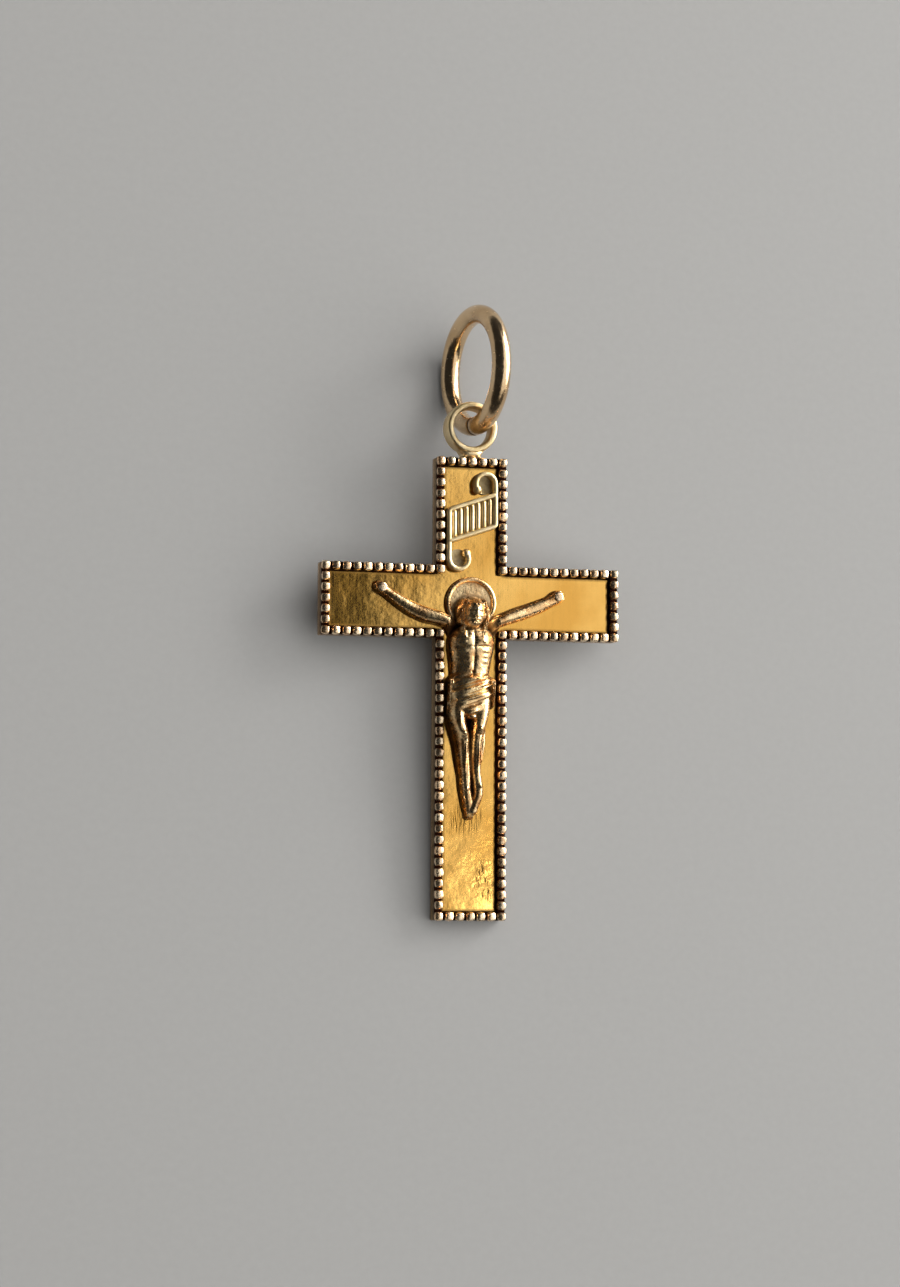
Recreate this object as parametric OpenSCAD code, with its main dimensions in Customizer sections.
// Crucifix pendant: a flat Latin cross with a sunk field and a beaded rim, a soldered eyelet, a jump ring
// threaded through it, an applied title scroll and a pinned cast figure.
// It lies on its back on a surface at z = 0. The ring stands in the eyelet and carries the top end.

/* [Cross] */
// Height of the cross, from its lower end to its top end
cross_h = 22; // [18:0.5:28]
// Width of the cross over both arms
cross_w = 14.6; // [12.6:0.2:18]
// Width of the upright and of the crossbar
limb_w = 3.45; // [3.2:0.05:4.4]
// Distance from the top end down to the middle of the crossbar
bar_drop = 6.9; // [6.7:0.1:8]
// Thickness of the plate, from its flat back to its sunk front field
plate_t = 0.65; // [0.5:0.05:1]

/* [Beaded rim] */
// Diameter of one bead
bead_d = 0.46; // [0.36:0.02:0.5]
// Spacing of the beads along the rim
bead_pitch = 0.52; // [0.52:0.02:0.8]
// Height of the plain wall under the beads, over the field
rim_rise = 0.28; // [0.2:0.02:0.4]
// How far a bead stands out over the cross's edge
bead_lap = 0.04; // [0:0.01:0.08]

/* [Eyelet] */
// Thickness of the eyelet's wall
eyelet_wall = 0.34; // [0.28:0.02:0.5]
// Depth of the eyelet, from front to back
eyelet_depth = 1.1; // [0.9:0.05:1.3]
// Height of the solder neck between the eyelet and the top end
neck_h = 0.22; // [0.15:0.01:0.4]
// Width of the solder neck
neck_w = 1.2; // [0.8:0.1:1.6]

/* [Jump ring] */
// Diameter of the ring's wire
ring_wire_d = 0.92; // [0.8:0.02:1.1]
// Inner diameter of the ring
ring_bore = 4.46; // [3.8:0.02:6]
// Free play of the wire in the eyelet's bore
ring_play = 0.9; // [0.8:0.05:1.3]
// Lean of the standing ring to its side, in degrees
ring_lean = 12; // [8:1:16]
// Turn of the ring to its side, in degrees
ring_turn = 0; // [-6:1:6]
// Rise of the ring's far end over the cross's own plane, in degrees
ring_rise = 3; // [2:1:10]

/* [Title scroll] */
// Clearance between the scroll and the beads on both sides
scroll_margin = 0.05; // [0.05:0.01:0.2]
// Height of the scroll's panel
scroll_h = 1.75; // [1.3:0.05:1.8]
// Slant of the panel's long edges, in degrees
scroll_slant = 19; // [8:1:20]
// Thickness of the scroll's back sheet
scroll_t = 0.26; // [0.15:0.01:0.3]
// Rise of the scroll's frame over its back sheet
frame_rise = 0.24; // [0.15:0.01:0.3]
// Width of the scroll's raised frame
scroll_frame = 0.24; // [0.18:0.01:0.3]
// Diameter of a curled end, along the middle of the frame
curl_d = 0.96; // [0.7:0.02:1]
// Number of reeds in the panel
scroll_reeds = 7; // [5:1:9]

/* [Figure] */
// Height of the figure, from the crown of its head to its toes
figure_h = 10.9; // [9.6:0.1:12]
// Span of the figure's arms, over both hands
figure_span = 9.5; // [8.6:0.1:10.5]
// Clearance between the figure's chest and the beads on both sides
figure_margin = 0.2; // [0.15:0.01:0.35]
// Relief of the figure over the field
figure_relief = 1.35; // [1:0.05:1.6]
// Diameter of the halo
halo_d = 2.5; // [2.1:0.05:2.7]
// Width of the halo's raised rim
halo_rim = 0.24; // [0.16:0.02:0.3]
// Diameter of a pin's head
pin_head_d = 0.5; // [0.3:0.02:0.56]

/* [Fit] */
// Gap between the plate and what is seated on it
seat_gap = 0.02; // [0.01:0.01:0.05]

/* [Hidden] */

plate_gold = [0.83, 0.66, 0.32];
cast_gold = [0.74, 0.56, 0.33];
ring_gold = [0.72, 0.62, 0.44];

// Cross, in its own frame: the axes cross at the origin, +Y up the upright, z = 0 at the flat back
top_y = bar_drop;
foot_y = bar_drop - cross_h;
half_w = cross_w / 2;
half_limb = limb_w / 2;
bead_r = bead_d / 2;
rim_in = bead_r - bead_lap;
bead_z = plate_t + rim_rise;
seat_z = plate_t + seat_gap;
bead_edge = half_limb - rim_in - bead_r;

// Eyelet
eyelet_bore = ring_wire_d + ring_play;
eyelet_r = eyelet_bore / 2 + eyelet_wall;
eyelet_y = top_y + neck_h + eyelet_r;

// Jump ring: its wire stands in the upper right of the bore, clear of the wall
wire_side = 30;
ring_r = (ring_bore + ring_wire_d) / 2;
wire_r = ring_wire_d / 2;
wire_gap = 0.02;
wire_sag = pow(eyelet_depth / 2, 2) / (2 * ring_r);
wire_drift = eyelet_depth / 2 * (tan(ring_lean) + tan(ring_rise) / 2);
wire_reach = max(0, ring_play / 2 - wire_sag - wire_drift - wire_gap);
wire_x = wire_reach * cos(wire_side);
wire_y = eyelet_y + wire_reach * sin(wire_side);
ring_out = [-sin(ring_turn) * cos(ring_rise), cos(ring_turn) * cos(ring_rise), sin(ring_rise)];
ring_mid = [wire_x, wire_y, eyelet_depth / 2] + ring_r * ring_out;
ring_up = [cos(ring_turn) * sin(ring_lean) + sin(ring_turn) * sin(ring_rise) * cos(ring_lean),
           sin(ring_turn) * sin(ring_lean) - cos(ring_turn) * sin(ring_rise) * cos(ring_lean),
           cos(ring_rise) * cos(ring_lean)];
ring_axis = cross(ring_up, ring_out);

// Pitch of the whole pendant, so that its lower end and the ring both touch the surface
function ring_dip(pitch) =
    ring_r * sqrt(1 - pow(ring_axis.y * sin(pitch) + ring_axis.z * cos(pitch), 2)) + wire_r;
function rest_pitch(pitch, steps) =
    steps == 0 ? pitch
    : rest_pitch(asin((ring_dip(pitch) - ring_mid.z * cos(pitch)) / (ring_mid.y - foot_y)), steps - 1);
pitch = rest_pitch(4, 8);

// Middle of the outline of the lying pendant, measured from its lower end
low_y = rim_in * cos(pitch) - bead_z * sin(pitch) - bead_r;
ring_far = (ring_mid.y - foot_y) * cos(pitch) - ring_mid.z * sin(pitch)
    + ring_r * sqrt(1 - pow(ring_axis.y * cos(pitch) - ring_axis.z * sin(pitch), 2)) + wire_r;
mid_y = (low_y + ring_far) / 2;

module lying() {
    translate([0, -mid_y, 0]) rotate([pitch, 0, 0]) translate([0, -foot_y, 0]) children();
}

// Outline of the cross, drawn in by a margin
function cross_outline(inset) =
    let (a = half_limb - inset, b = half_w - inset, t = top_y - inset, f = foot_y + inset)
    [[-a, f], [a, f], [a, -a], [b, -a], [b, a], [a, a],
     [a, t], [-a, t], [-a, a], [-b, a], [-b, -a], [-a, -a]];

// Places of the beads along one side of the outline
function side_beads(from, to) =
    let (count = max(1, round(norm(to - from) / bead_pitch)))
    [for (i = [0:count - 1]) from + (to - from) * i / count];

function bead_places() =
    let (line = cross_outline(rim_in))
    [for (k = [0:len(line) - 1]) each side_beads(line[k], line[(k + 1) % len(line)])];

module plate() {
    linear_extrude(plate_t) polygon(cross_outline(0));
    linear_extrude(bead_z) difference() {
        polygon(cross_outline(0));
        polygon(cross_outline(2 * rim_in));
    }
}

module beads() {
    for (place = bead_places()) translate([place.x, place.y, bead_z]) sphere(r = bead_r, $fn = 24);
}

module eyelet() {
    difference() {
        union() {
            translate([0, eyelet_y, 0]) cylinder(r = eyelet_r, h = eyelet_depth, $fn = 64);
            translate([-neck_w / 2, top_y - rim_in, 0])
                cube([neck_w, neck_h + rim_in + eyelet_wall / 2, bead_z]);
        }
        translate([0, eyelet_y, -1]) cylinder(d = eyelet_bore, h = eyelet_depth + 2, $fn = 64);
    }
}

module cross_body() {
    plate();
    beads();
    eyelet();
}

// Title scroll, centred between the halo and the top rim
scroll_w = 2 * (bead_edge - scroll_margin);
halo_y = -0.05;
slant_rise = scroll_w / 2 * tan(scroll_slant);
curl_r = curl_d / 2;
frame_z = scroll_t + frame_rise;
tail_drop = 0.68;
head_rise = 0.34;
curl_turn = 215;
curl_ball = 0.7;
reed_fill = 0.9;
strip_inset = 0.01;
strip_reach = 0.03;
scroll_y = (top_y - rim_in - bead_r + halo_y + halo_d / 2 + tail_drop - head_rise) / 2;

// Corners of the slanted panel, drawn in by a margin
function panel(inset) =
    let (a = scroll_w / 2 - inset, b = scroll_h / 2 - inset / cos(scroll_slant), c = a * tan(scroll_slant))
    [[-a, -b - c], [a, -b + c], [a, b + c], [-a, b - c]];

// One curled end: an arc of the frame that winds round to a small ball
module curl() {
    rotate_extrude(angle = curl_turn, $fn = 48)
        translate([curl_r - scroll_frame / 2, 0]) square([scroll_frame, frame_z]);
    cylinder(r = curl_r, h = scroll_t, $fn = 48);
    rotate(curl_turn) translate([curl_r - scroll_frame / 4, 0, frame_z / 2])
        cylinder(r = scroll_frame * curl_ball, h = frame_z / 2, $fn = 24);
}

module reeds() {
    reed_step = (scroll_w - 2 * scroll_frame) / scroll_reeds;
    intersection() {
        linear_extrude(frame_z) polygon(panel(scroll_frame / 2));
        for (i = [0:scroll_reeds - 1])
            translate([(i - (scroll_reeds - 1) / 2) * reed_step, -scroll_h, scroll_t])
                rotate([-90, 0, 0]) cylinder(d = reed_step * reed_fill, h = 2 * scroll_h, $fn = 24);
    }
}

module scroll_piece() {
    linear_extrude(scroll_t) polygon(panel(0));
    linear_extrude(frame_z) difference() {
        polygon(panel(0));
        polygon(panel(scroll_frame));
    }
    reeds();
    side = scroll_w / 2 - scroll_frame / 2;
    strip = scroll_frame - 2 * strip_inset;
    tail_y = -scroll_h / 2 - slant_rise - tail_drop;
    head_y = scroll_h / 2 + slant_rise + head_rise;
    translate([-side - strip / 2, tail_y - strip_reach, 0]) cube([strip, tail_drop + scroll_frame, frame_z]);
    translate([side - strip / 2, head_y - head_rise - scroll_frame, 0])
        cube([strip, head_rise + scroll_frame + strip_reach, frame_z]);
    translate([-side + curl_r, tail_y, 0]) rotate(180) curl();
    translate([side - curl_r, head_y, 0]) curl();
}

// Figure. Heights are shares of figure_h below the crown, widths of figure_w. Depths are in millimetres
// over the field before figure_relief stretches them.
figure_w = 2 * (bead_edge - figure_margin);
crown_y = 0.287;
arm_reach = figure_span / 2;
arm_steps = 3;
arm_edge = 0.08;
arm_round = 0.75;
column_rows = 112;
column_steps = 30;
end_cap = 0.02;
web_t = 0.06;
casting_draft = 0.02;
edge_share = 0.98;
shoulder_top = 0.117;
shoulder_low = 0.181;

// Trunk: [height, across, half width, middle depth, half depth]
TRUNK = [
    [0.128, 0.01, 0.17, 0.38, 0.28],
    [0.150, 0.01, 0.41, 0.33, 0.30],
    [0.185, 0.01, 0.52, 0.34, 0.40],
    [0.235, 0.00, 0.51, 0.33, 0.42],
    [0.290, -0.01, 0.46, 0.30, 0.38],
    [0.340, -0.02, 0.43, 0.27, 0.32],
    [0.385, -0.03, 0.45, 0.28, 0.34],
    [0.440, -0.02, 0.47, 0.30, 0.38],
    [0.480, -0.02, 0.42, 0.28, 0.34]
];
// Leg on the left of the view: the same columns
LEFT_LEG = [
    [0.430, -0.23, 0.24, 0.32, 0.38],
    [0.510, -0.34, 0.21, 0.42, 0.38],
    [0.560, -0.32, 0.19, 0.50, 0.36],
    [0.612, -0.24, 0.18, 0.56, 0.32],
    [0.655, -0.21, 0.16, 0.45, 0.28],
    [0.720, -0.17, 0.16, 0.34, 0.28],
    [0.787, -0.13, 0.14, 0.28, 0.24],
    [0.840, -0.12, 0.13, 0.26, 0.22],
    [0.900, -0.06, 0.14, 0.22, 0.22],
    [0.960, -0.02, 0.10, 0.14, 0.16]
];
// Leg on the right of the view, whose foot crosses over the other
RIGHT_LEG = [
    [0.430, 0.21, 0.24, 0.32, 0.38],
    [0.500, 0.19, 0.21, 0.44, 0.38],
    [0.550, 0.14, 0.20, 0.56, 0.34],
    [0.590, 0.09, 0.185, 0.60, 0.31],
    [0.650, 0.06, 0.155, 0.50, 0.28],
    [0.710, 0.07, 0.15, 0.40, 0.29],
    [0.770, 0.09, 0.13, 0.34, 0.24],
    [0.830, 0.14, 0.13, 0.34, 0.22],
    [0.865, 0.15, 0.13, 0.36, 0.20],
    [0.900, 0.11, 0.12, 0.32, 0.18],
    [0.940, 0.05, 0.10, 0.24, 0.16]
];
// Calf that shows behind the crossing leg
CALF = [
    [0.590, 0.24, 0.08, 0.24, 0.26],
    [0.650, 0.24, 0.07, 0.22, 0.24],
    [0.715, 0.21, 0.05, 0.18, 0.18]
];
// Arms from the shoulder: [share of the reach, share of the crossbar's field, half width, height]
LEFT_ARM = [
    [-0.25, -0.73, 0.135, 0.60],
    [-0.35, -0.60, 0.155, 0.58],
    [-0.47, -0.51, 0.170, 0.54],
    [-0.60, -0.33, 0.155, 0.48],
    [-0.72, -0.08, 0.140, 0.45],
    [-0.86, 0.25, 0.110, 0.38],
    [-0.93, 0.43, 0.130, 0.36],
    [-0.985, 0.59, 0.090, 0.24]
];
RIGHT_ARM = [
    [0.26, -0.72, 0.135, 0.60],
    [0.36, -0.57, 0.150, 0.58],
    [0.49, -0.40, 0.165, 0.54],
    [0.60, -0.26, 0.160, 0.48],
    [0.71, -0.10, 0.155, 0.46],
    [0.825, 0.10, 0.135, 0.40],
    [0.895, 0.265, 0.165, 0.38],
    [0.96, 0.36, 0.100, 0.26]
];
pin_row = 6;
// Loincloth over the hips: the same columns as the trunk
CLOTH = [
    [0.355, -0.02, 0.46, 0.30, 0.38],
    [0.375, -0.02, 0.50, 0.33, 0.43],
    [0.400, -0.02, 0.52, 0.34, 0.46],
    [0.430, -0.02, 0.53, 0.36, 0.49],
    [0.455, -0.03, 0.50, 0.36, 0.48],
    [0.490, -0.10, 0.40, 0.38, 0.48],
    [0.530, -0.06, 0.16, 0.40, 0.44]
];
// Falling end of the cloth on the left of the view
DRAPE = [
    [0.375, -0.48, 0.08, 0.30, 0.22],
    [0.420, -0.51, 0.06, 0.26, 0.22],
    [0.470, -0.52, 0.05, 0.20, 0.18],
    [0.515, -0.51, 0.05, 0.16, 0.14]
];
// Knot of the cloth on the right of the view
KNOT = [
    [0.375, 0.44, 0.08, 0.40, 0.24],
    [0.405, 0.42, 0.09, 0.50, 0.26],
    [0.440, 0.43, 0.06, 0.44, 0.22],
    [0.475, 0.45, 0.05, 0.34, 0.18]
];
// Locks of hair that fall to the shoulders on both sides
LEFT_HAIR = [
    [0.030, -0.18, 0.10, 0.60, 0.20],
    [0.060, -0.25, 0.11, 0.54, 0.22],
    [0.100, -0.27, 0.11, 0.50, 0.22],
    [0.145, -0.24, 0.09, 0.52, 0.18],
    [0.178, -0.20, 0.05, 0.56, 0.12]
];
RIGHT_HAIR = [
    [0.030, 0.18, 0.10, 0.60, 0.20],
    [0.060, 0.25, 0.11, 0.54, 0.22],
    [0.100, 0.27, 0.11, 0.50, 0.22],
    [0.145, 0.24, 0.09, 0.52, 0.18],
    [0.178, 0.20, 0.05, 0.56, 0.12]
];

// Muscles of the trunk: [across, height, half width, half height, rise]
MUSCLES = [
    [-0.22, 0.200, 0.16, 0.022, 0.06],
    [0.20, 0.200, 0.16, 0.022, 0.06],
    [-0.01, 0.200, 0.05, 0.050, -0.04],
    [-0.22, 0.262, 0.16, 0.009, 0.04],
    [0.20, 0.262, 0.16, 0.009, 0.04],
    [-0.24, 0.292, 0.13, 0.009, 0.04],
    [0.22, 0.292, 0.13, 0.009, 0.04],
    [-0.01, 0.300, 0.05, 0.045, -0.03],
    [-0.02, 0.338, 0.05, 0.008, -0.06]
];
// Knees and ankles: the same columns
JOINTS = [
    [-0.26, 0.604, 0.09, 0.014, 0.07],
    [0.10, 0.586, 0.09, 0.014, 0.07],
    [-0.15, 0.850, 0.06, 0.012, 0.05],
    [0.08, 0.835, 0.06, 0.012, 0.05]
];
fold_rise = 0.04;
fold_width = 0.8;
fold_lean = 22;

// Face and beard on the head, as shares of the head's height: [across, up, half width, half height, rise]
head_share = 0.165;
head_h = head_share * figure_h;
head_tilt = 8;
HEAD_HALF = [0.35, 0.48];
HEAD_DEPTHS = [0.60, 0.44];
FACE = [
    [0.00, 0.11, 0.20, 0.035, 0.012],
    [0.00, 0.02, 0.035, 0.080, 0.040],
    [0.00, -0.085, 0.045, 0.035, 0.055],
    [0.00, -0.190, 0.070, 0.018, -0.022],
    [0.00, -0.225, 0.055, 0.022, 0.024],
    [0.00, -0.380, 0.150, 0.110, 0.060]
];
// The same for what both sides of the face have
CHEEKS = [
    [0.115, 0.030, 0.070, 0.042, -0.032],
    [0.115, 0.015, 0.050, 0.022, 0.020],
    [0.130, 0.095, 0.080, 0.026, 0.022],
    [0.070, -0.155, 0.065, 0.024, 0.026],
    [0.300, 0.060, 0.070, 0.300, 0.060]
];
band_up = 0.25;
band_rise = 0.045;
band_half = 0.05;

function bump(across, up, row) =
    row[4] * exp(-pow((across - row[0]) / row[2], 2) - pow((up - row[1]) / row[3], 2));
function bumps(across, up, table) = [for (row = table) 1] * [for (row = table) bump(across, up, row)];

// Top of the head over a point of the field
function head_top(x, y) =
    let (dx = x / head_h, dy = (y - crown_y) / head_h + 0.5,
         across = dx * cos(head_tilt) - dy * sin(head_tilt), up = dx * sin(head_tilt) + dy * cos(head_tilt),
         round = 1 - pow(across / HEAD_HALF.x, 2) - pow(up / HEAD_HALF.y, 2),
         front = min(1, max(0, 2 * round)),
         skin = bumps(across, up, FACE) + bumps(across, up, CHEEKS) + bumps(-across, up, CHEEKS)
             + band_rise * exp(-pow((up - band_up) / band_half, 2)))
    round <= 0 ? 0 : HEAD_DEPTHS[0] + HEAD_DEPTHS[1] * sqrt(round) + front * skin * head_h / figure_relief;

// Top of the halo, a thin disc with a raised round rim
halo_sheet = 0.08;
function halo_top(x, y) =
    let (off = norm([x, y - halo_y]) - (halo_d - halo_rim) / 2, half = halo_rim / 2)
    off > half ? 0
    : off < -half ? halo_sheet / figure_relief
    : max(halo_sheet, half + sqrt(half * half - off * off)) / figure_relief;
function halo_chord(y) = sqrt(max(0, pow(halo_d / 2, 2) - pow(y - halo_y, 2)));

// Section of a part of the body at one height: [middle, half width, middle depth, half depth]
function values(table, i) = [for (row = table) [row[0], row[i]]];
function end_round(table, height) =
    let (past = max(table[0][0] - height, height - table[len(table) - 1][0], 0) / end_cap)
    past < 1 ? sqrt(1 - past * past) : 0;
function section(table, height) =
    let (k = end_round(table, height))
    [lookup(height, values(table, 1)) * figure_w, k * lookup(height, values(table, 2)) * figure_w,
     k * lookup(height, values(table, 3)), k * lookup(height, values(table, 4))];
function section_top(part, x) =
    let (off = (x - part[0]) / max(part[1], 0.001))
    abs(off) < 1 ? part[2] + part[3] * sqrt(1 - off * off) : 0;
function raised(top, rise) = top > 0 ? top + rise : 0;

// Top of the whole figure without its arms, over one point of the field
function figure_top(sections, x, height) =
    let (y = crown_y - height * figure_h, across = x / figure_w,
         folds = fold_rise * cos(360 * (across / fold_width + height * fold_lean)))
    max(web_t, halo_top(x, y), head_top(x, y),
        raised(section_top(sections[0], x), bumps(across, height, MUSCLES)),
        raised(section_top(sections[1], x), folds),
        max([for (i = [2, 3]) raised(section_top(sections[i], x), bumps(across, height, JOINTS))]),
        max([for (i = [4:len(sections) - 1]) section_top(sections[i], x)]));

column_tables = [TRUNK, CLOTH, LEFT_LEG, RIGHT_LEG, CALF, DRAPE, KNOT, LEFT_HAIR, RIGHT_HAIR];
column_start = (crown_y - halo_y - halo_d / 2) / figure_h;
column_end = 0.978;

// One row of points across the figure: its left base, its top from left to right, and its right base
function column_row(height) =
    let (sections = [for (table = column_tables) section(table, height)],
         y = crown_y - height * figure_h, chord = halo_chord(y),
         wide = [for (part = sections) if (part[1] > 0) part],
         left = min([-chord, for (part = wide) part[0] - part[1]]),
         right = max([chord, for (part = wide) part[0] + part[1]]))
    [[left - casting_draft, y, 0],
     for (j = [0:column_steps])
        let (even = 2 * j / column_steps - 1, u = edge_share * (even + sin(90 * even)) / 2,
             x = (left + right + u * (right - left)) / 2)
        [x, y, figure_top(sections, x, height)],
     [right + casting_draft, y, 0]];

// Place of a row of an arm's table, counted in rows and parts of a row: [x, y, half width, height]
function arm_at(table, t) =
    [for (i = [0:3]) lookup(t, [for (k = [0:len(table) - 1]) [k, table[k][i]]])
        * [arm_reach, bead_edge, figure_w, 1][i]];

// Domed head of the pin through a hand, over one point of the field
function pin_top(table, x, y) =
    let (hand = arm_at(table, pin_row), off = 2 * norm([x - hand.x, y - hand.y]) / pin_head_d)
    off < 1 ? hand[3] + pin_head_d / 4 * sqrt(1 - off * off) / figure_relief : 0;

// One ring of an arm: its top from the upper edge to the lower one, then its base back again
function arm_ring(table, t, side, count) =
    let (row = arm_at(table, t), a = arm_at(table, max(0, t - 0.5)), b = arm_at(table, t + 0.5),
         way = [b.x - a.x, b.y - a.y] / norm([b.x - a.x, b.y - a.y]),
         across = row[2] * side * [-way.y, way.x],
         top = [for (k = [0:count]) let (turn = 180 * k / count, x = row.x + across.x * cos(turn),
                                         y = row.y + across.y * cos(turn))
            [x, y, max(pin_top(table, x, y), arm_edge + (row[3] - arm_edge) * pow(sin(turn), arm_round))]])
    concat(top, [for (k = [count:-1:0]) [top[k].x, top[k].y, 0]]);

function arm_tip(table) =
    let (last = len(table) - 1, row = arm_at(table, last), a = arm_at(table, last - 0.5),
         way = [row.x - a.x, row.y - a.y] / norm([row.x - a.x, row.y - a.y]))
    [row.x + row[2] * way.x, row.y + row[2] * way.y, arm_edge];

// Triangles between two rings given as lists of point numbers, facing outwards for side 1
function band(from, to, side) =
    [for (k = [0:len(from) - 1]) let (m = (k + 1) % len(from))
        each side > 0 ? [[from[k], to[k], to[m]], [from[k], to[m], from[m]]]
                      : [[from[k], to[m], to[k]], [from[k], from[m], to[m]]]];

// The whole figure as one closed relief. The rows of its trunk run down from the top of the halo to the toes.
// Each arm grows out of the rows of its shoulder.
module figure() {
    rows = [for (i = [1:column_rows - 1])
        column_row(column_start + (column_end - column_start) * i / column_rows)];
    wide = len(rows[0]);
    last = len(rows) - 1;
    toes = rows[last][floor(wide / 2)];
    row_share = (column_end - column_start) / column_rows;
    arm_from = round((shoulder_top - column_start) / row_share);
    arm_to = round((shoulder_low - column_start) / row_share);
    count = arm_to - arm_from;
    stations = arm_steps * (len(LEFT_ARM) - 1);
    left_rings = [for (i = [0:stations]) arm_ring(LEFT_ARM, i / arm_steps, -1, count)];
    right_rings = [for (i = [0:stations]) arm_ring(RIGHT_ARM, i / arm_steps, 1, count)];
    size = 2 * (count + 1);
    left_from = len(rows) * wide;
    right_from = left_from + size * (stations + 1);
    tip = right_from + size * (stations + 1);
    points = concat(
        [for (row = rows) each row],
        [for (ring = left_rings) each ring],
        [for (ring = right_rings) each ring],
        [[0, halo_y + halo_d / 2, 0], [toes.x, crown_y - column_end * figure_h, 0],
         arm_tip(LEFT_ARM), arm_tip(RIGHT_ARM)]);
    skin = [for (i = [0:last - 1], j = [0:wide - 2]) let (a = i * wide + j, b = a + wide)
        if (i < arm_from || i >= arm_to || (j > 0 && j < wide - 2))
            each [[a, a + 1, b + 1], [a, b + 1, b]]];
    base = [for (i = [0:last - 1]) let (a = i * wide, b = a + wide)
        each [[a, b, b + wide - 1], [a, b + wide - 1, a + wide - 1]]];
    crown = [for (j = [0:wide - 2]) [tip, j + 1, j]];
    toe = [for (j = [0:wide - 2]) [last * wide + j, last * wide + j + 1, tip + 1]];
    ends = [[tip, 0, wide - 1], [last * wide + wide - 1, last * wide, tip + 1]];
    left_root = concat([for (i = [arm_from:arm_to]) i * wide + 1], [for (i = [arm_to:-1:arm_from]) i * wide]);
    right_root = [for (point = left_root) let (i = floor(point / wide), j = point % wide)
        i * wide + wide - 1 - j];
    ring = [for (k = [0:size - 1]) k];
    one = [for (k = ring) 1];
    left_arm = [for (i = [0:stations])
        each band(i == 0 ? left_root : ring + (left_from + (i - 1) * size) * one,
                  ring + (left_from + i * size) * one, -1)];
    right_arm = [for (i = [0:stations])
        each band(i == 0 ? right_root : ring + (right_from + (i - 1) * size) * one,
                  ring + (right_from + i * size) * one, 1)];
    hands = [for (k = ring) let (m = (k + 1) % size, a = left_from + stations * size,
                                 b = right_from + stations * size)
        each [[tip + 2, a + k, a + m], [b + k, tip + 3, b + m]]];
    polyhedron(points = points, convexity = 8,
        faces = concat(skin, base, crown, toe, ends, left_arm, right_arm, hands));
}

module figure_body() {
    translate([0, 0, seat_z]) scale([1, 1, figure_relief]) figure();
}

module cross() {
    color(plate_gold) lying() cross_body();
}

module title_scroll() {
    color(cast_gold) lying() translate([0, scroll_y, seat_z]) scroll_piece();
}

module corpus() {
    color(cast_gold) lying() figure_body();
}

module jump_ring() {
    color(ring_gold) lying() translate([wire_x, wire_y, eyelet_depth / 2])
        rotate([0, 0, ring_turn]) rotate([ring_rise, 0, 0]) rotate([0, ring_lean - 90, 0])
            translate([0, ring_r, 0])
                rotate_extrude($fn = 72) translate([ring_r, 0]) circle(r = wire_r, $fn = 32);
}

cross();
title_scroll();
corpus();
jump_ring();
